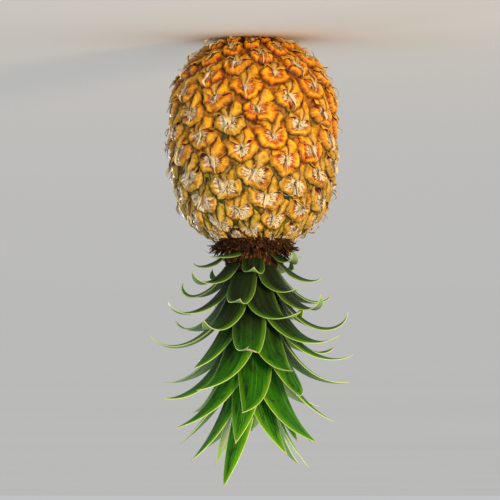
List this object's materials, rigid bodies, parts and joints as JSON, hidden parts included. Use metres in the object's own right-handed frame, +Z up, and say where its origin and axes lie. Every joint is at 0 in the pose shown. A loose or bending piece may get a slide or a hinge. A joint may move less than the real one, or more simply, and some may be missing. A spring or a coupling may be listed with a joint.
{
  "type": "pineapple",
  "caption": "A whole ripe pineapple that stands on its base: a barrel of spiralling eyes with papery bracts, and a crown of stiff arching leaves.",
  "frame": {"origin": "the middle of the flat base, on the surface that the fruit stands on", "axes": "+Z runs up the fruit's axis from the base to the crown, and the side that the picture shows faces -Y"},
  "size_m": [0.1453, 0.1448, 0.3199],
  "materials": {
    "rind": "waxy orange-yellow rind with dry tan bracts",
    "cut_stalk": "dry fibrous cut end",
    "withered_scales": "dry brown scale leaves",
    "leaf": "waxy green leaf with a pale margin"
  },
  "bodies": {
    "root": {"fruit": "rind", "stalk": "cut_stalk", "crown_stem": "withered_scales", "leaf_01": "leaf", "leaf_02": "leaf", "leaf_03": "leaf", "leaf_04": "leaf", "leaf_05": "leaf", "leaf_06": "leaf", "leaf_07": "leaf", "leaf_08": "leaf", "leaf_09": "leaf", "leaf_10": "leaf", "leaf_11": "leaf", "leaf_12": "leaf", "leaf_13": "leaf", "leaf_14": "leaf", "leaf_15": "leaf", "leaf_16": "leaf", "leaf_17": "leaf", "leaf_18": "leaf", "leaf_19": "leaf", "leaf_20": "leaf", "leaf_21": "leaf", "leaf_22": "leaf", "leaf_23": "leaf", "leaf_24": "leaf", "leaf_25": "leaf", "leaf_26": "leaf", "leaf_27": "leaf", "leaf_28": "leaf", "leaf_29": "leaf", "leaf_30": "leaf", "leaf_31": "leaf", "leaf_32": "leaf", "leaf_33": "leaf", "leaf_34": "leaf", "leaf_35": "leaf", "leaf_36": "leaf", "leaf_37": "leaf", "leaf_38": "leaf", "leaf_39": "leaf", "leaf_40": "leaf", "leaf_41": "leaf", "leaf_42": "leaf", "leaf_43": "leaf", "leaf_44": "leaf", "leaf_45": "leaf", "leaf_46": "leaf", "leaf_47": "leaf", "leaf_48": "leaf", "leaf_49": "leaf", "leaf_50": "leaf", "leaf_51": "leaf", "leaf_52": "leaf", "leaf_53": "leaf", "leaf_54": "leaf", "leaf_55": "leaf", "leaf_56": "leaf"}
  },
  "joints": []
}
